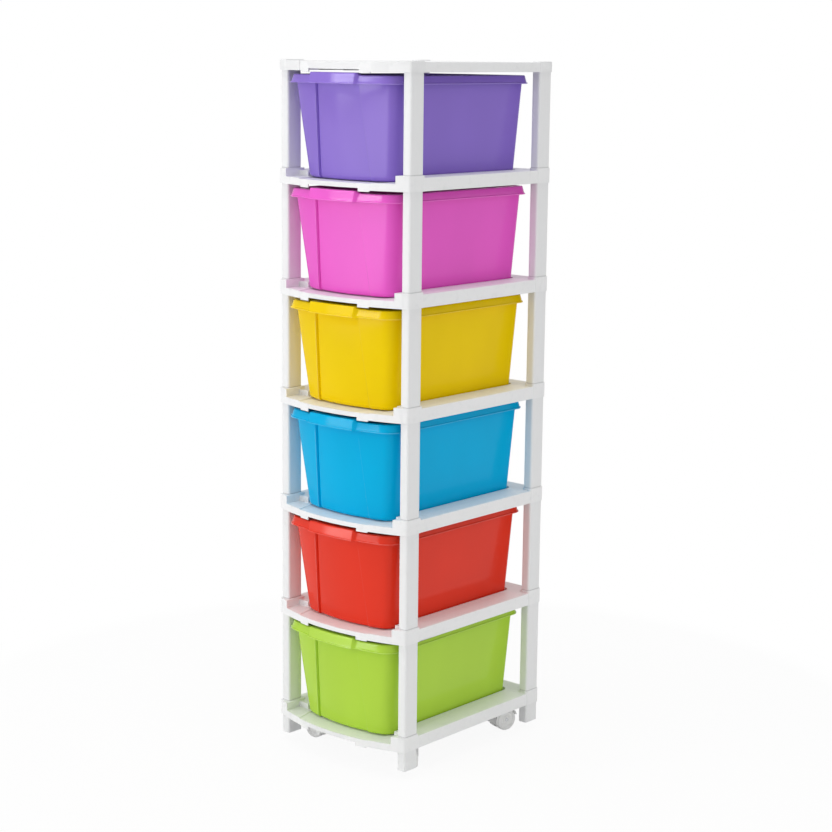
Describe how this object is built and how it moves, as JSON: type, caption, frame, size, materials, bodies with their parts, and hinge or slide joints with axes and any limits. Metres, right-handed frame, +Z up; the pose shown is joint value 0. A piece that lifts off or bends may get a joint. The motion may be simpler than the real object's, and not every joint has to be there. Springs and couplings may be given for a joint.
{
  "type": "drawer tower",
  "caption": "Tall narrow plastic drawer tower with a white post-and-shelf frame, tapered coloured drawers with a raised front handle, and swivel castors.",
  "frame": {"origin": "on the floor, under the centre of the whole tower's plan, handles included", "axes": "+Z up, +X to the right seen from the front, -Y towards the front, where the drawers slide out"},
  "size_m": [0.268, 0.361, 1.08],
  "materials": {
    "white_plastic": "satin moulded polypropylene",
    "lime_plastic": "satin moulded polypropylene",
    "red_plastic": "satin moulded polypropylene",
    "blue_plastic": "satin moulded polypropylene",
    "yellow_plastic": "satin moulded polypropylene",
    "pink_plastic": "satin moulded polypropylene",
    "purple_plastic": "satin moulded polypropylene",
    "castor_plastic": "moulded",
    "axle_steel": "bright drawn"
  },
  "bodies": {
    "tower": {"bottom_shelf": "white_plastic", "shelf_2": "white_plastic", "shelf_3": "white_plastic", "shelf_4": "white_plastic", "shelf_5": "white_plastic", "shelf_6": "white_plastic", "top_shelf": "white_plastic", "post_1_front_left": "white_plastic", "post_1_front_right": "white_plastic", "post_1_rear_right": "white_plastic", "post_1_rear_left": "white_plastic", "post_2_front_left": "white_plastic", "post_2_front_right": "white_plastic", "post_2_rear_right": "white_plastic", "post_2_rear_left": "white_plastic", "post_3_front_left": "white_plastic", "post_3_front_right": "white_plastic", "post_3_rear_right": "white_plastic", "post_3_rear_left": "white_plastic", "post_4_front_left": "white_plastic", "post_4_front_right": "white_plastic", "post_4_rear_right": "white_plastic", "post_4_rear_left": "white_plastic", "post_5_front_left": "white_plastic", "post_5_front_right": "white_plastic", "post_5_rear_right": "white_plastic", "post_5_rear_left": "white_plastic", "post_6_front_left": "white_plastic", "post_6_front_right": "white_plastic", "post_6_rear_right": "white_plastic", "post_6_rear_left": "white_plastic", "foot_front_left": "white_plastic", "foot_front_right": "white_plastic", "foot_rear_right": "white_plastic", "foot_rear_left": "white_plastic"},
    "drawer_body_1": {"drawer_1": "lime_plastic"},
    "drawer_body_2": {"drawer_2": "red_plastic"},
    "drawer_body_3": {"drawer_3": "blue_plastic"},
    "drawer_body_4": {"drawer_4": "yellow_plastic"},
    "drawer_body_5": {"drawer_5": "pink_plastic"},
    "drawer_body_6": {"drawer_6": "purple_plastic"},
    "castor_swivel_front_left": {"castor_fork_front_left": "castor_plastic", "castor_axle_front_left": "axle_steel"},
    "inner_wheel_body_front_left": {"inner_wheel_front_left": "castor_plastic"},
    "outer_wheel_body_front_left": {"outer_wheel_front_left": "castor_plastic"},
    "castor_swivel_front_right": {"castor_fork_front_right": "castor_plastic", "castor_axle_front_right": "axle_steel"},
    "inner_wheel_body_front_right": {"inner_wheel_front_right": "castor_plastic"},
    "outer_wheel_body_front_right": {"outer_wheel_front_right": "castor_plastic"},
    "castor_swivel_rear_right": {"castor_fork_rear_right": "castor_plastic", "castor_axle_rear_right": "axle_steel"},
    "inner_wheel_body_rear_right": {"inner_wheel_rear_right": "castor_plastic"},
    "outer_wheel_body_rear_right": {"outer_wheel_rear_right": "castor_plastic"},
    "castor_swivel_rear_left": {"castor_fork_rear_left": "castor_plastic", "castor_axle_rear_left": "axle_steel"},
    "inner_wheel_body_rear_left": {"inner_wheel_rear_left": "castor_plastic"},
    "outer_wheel_body_rear_left": {"outer_wheel_rear_left": "castor_plastic"}
  },
  "joints": [
    {"name": "drawer_1_slide", "type": "slide", "parent": "tower", "child": "drawer_body_1", "axis": [0, -1, 0], "range_m": [0, 0.25]},
    {"name": "drawer_2_slide", "type": "slide", "parent": "tower", "child": "drawer_body_2", "axis": [0, -1, 0], "range_m": [0, 0.25]},
    {"name": "drawer_3_slide", "type": "slide", "parent": "tower", "child": "drawer_body_3", "axis": [0, -1, 0], "range_m": [0, 0.25]},
    {"name": "drawer_4_slide", "type": "slide", "parent": "tower", "child": "drawer_body_4", "axis": [0, -1, 0], "range_m": [0, 0.25]},
    {"name": "drawer_5_slide", "type": "slide", "parent": "tower", "child": "drawer_body_5", "axis": [0, -1, 0], "range_m": [0, 0.25]},
    {"name": "drawer_6_slide", "type": "slide", "parent": "tower", "child": "drawer_body_6", "axis": [0, -1, 0], "range_m": [0, 0.25]},
    {"name": "castor_swivel_front_left", "type": "hinge", "parent": "tower", "child": "castor_swivel_front_left", "pos_m": [-0.092, -0.0955, 0.045], "axis": [0, 0, 1], "continuous": true},
    {"name": "inner_wheel_spin_front_left", "type": "hinge", "parent": "castor_swivel_front_left", "child": "inner_wheel_body_front_left", "pos_m": [-0.1, -0.0955, 0.018], "axis": [0, 1, 0], "continuous": true},
    {"name": "outer_wheel_spin_front_left", "type": "hinge", "parent": "castor_swivel_front_left", "child": "outer_wheel_body_front_left", "pos_m": [-0.1, -0.0955, 0.018], "axis": [0, 1, 0], "continuous": true},
    {"name": "castor_swivel_front_right", "type": "hinge", "parent": "tower", "child": "castor_swivel_front_right", "pos_m": [0.092, -0.0955, 0.045], "axis": [0, 0, 1], "continuous": true},
    {"name": "inner_wheel_spin_front_right", "type": "hinge", "parent": "castor_swivel_front_right", "child": "inner_wheel_body_front_right", "pos_m": [0.09766, -0.10116, 0.018], "axis": [-0.7071, -0.7071, 0], "continuous": true},
    {"name": "outer_wheel_spin_front_right", "type": "hinge", "parent": "castor_swivel_front_right", "child": "outer_wheel_body_front_right", "pos_m": [0.09766, -0.10116, 0.018], "axis": [-0.7071, -0.7071, 0], "continuous": true},
    {"name": "castor_swivel_rear_right", "type": "hinge", "parent": "tower", "child": "castor_swivel_rear_right", "pos_m": [0.092, 0.1265, 0.045], "axis": [0, 0, 1], "continuous": true},
    {"name": "inner_wheel_spin_rear_right", "type": "hinge", "parent": "castor_swivel_rear_right", "child": "inner_wheel_body_rear_right", "pos_m": [0.09407, 0.13423, 0.018], "axis": [0.9659, -0.2588, 0], "continuous": true},
    {"name": "outer_wheel_spin_rear_right", "type": "hinge", "parent": "castor_swivel_rear_right", "child": "outer_wheel_body_rear_right", "pos_m": [0.09407, 0.13423, 0.018], "axis": [0.9659, -0.2588, 0], "continuous": true},
    {"name": "castor_swivel_rear_left", "type": "hinge", "parent": "tower", "child": "castor_swivel_rear_left", "pos_m": [-0.092, 0.1265, 0.045], "axis": [0, 0, 1], "continuous": true},
    {"name": "inner_wheel_spin_rear_left", "type": "hinge", "parent": "castor_swivel_rear_left", "child": "inner_wheel_body_rear_left", "pos_m": [-0.09766, 0.13216, 0.018], "axis": [0.7071, 0.7071, 0], "continuous": true},
    {"name": "outer_wheel_spin_rear_left", "type": "hinge", "parent": "castor_swivel_rear_left", "child": "outer_wheel_body_rear_left", "pos_m": [-0.09766, 0.13216, 0.018], "axis": [0.7071, 0.7071, 0], "continuous": true}
  ]
}
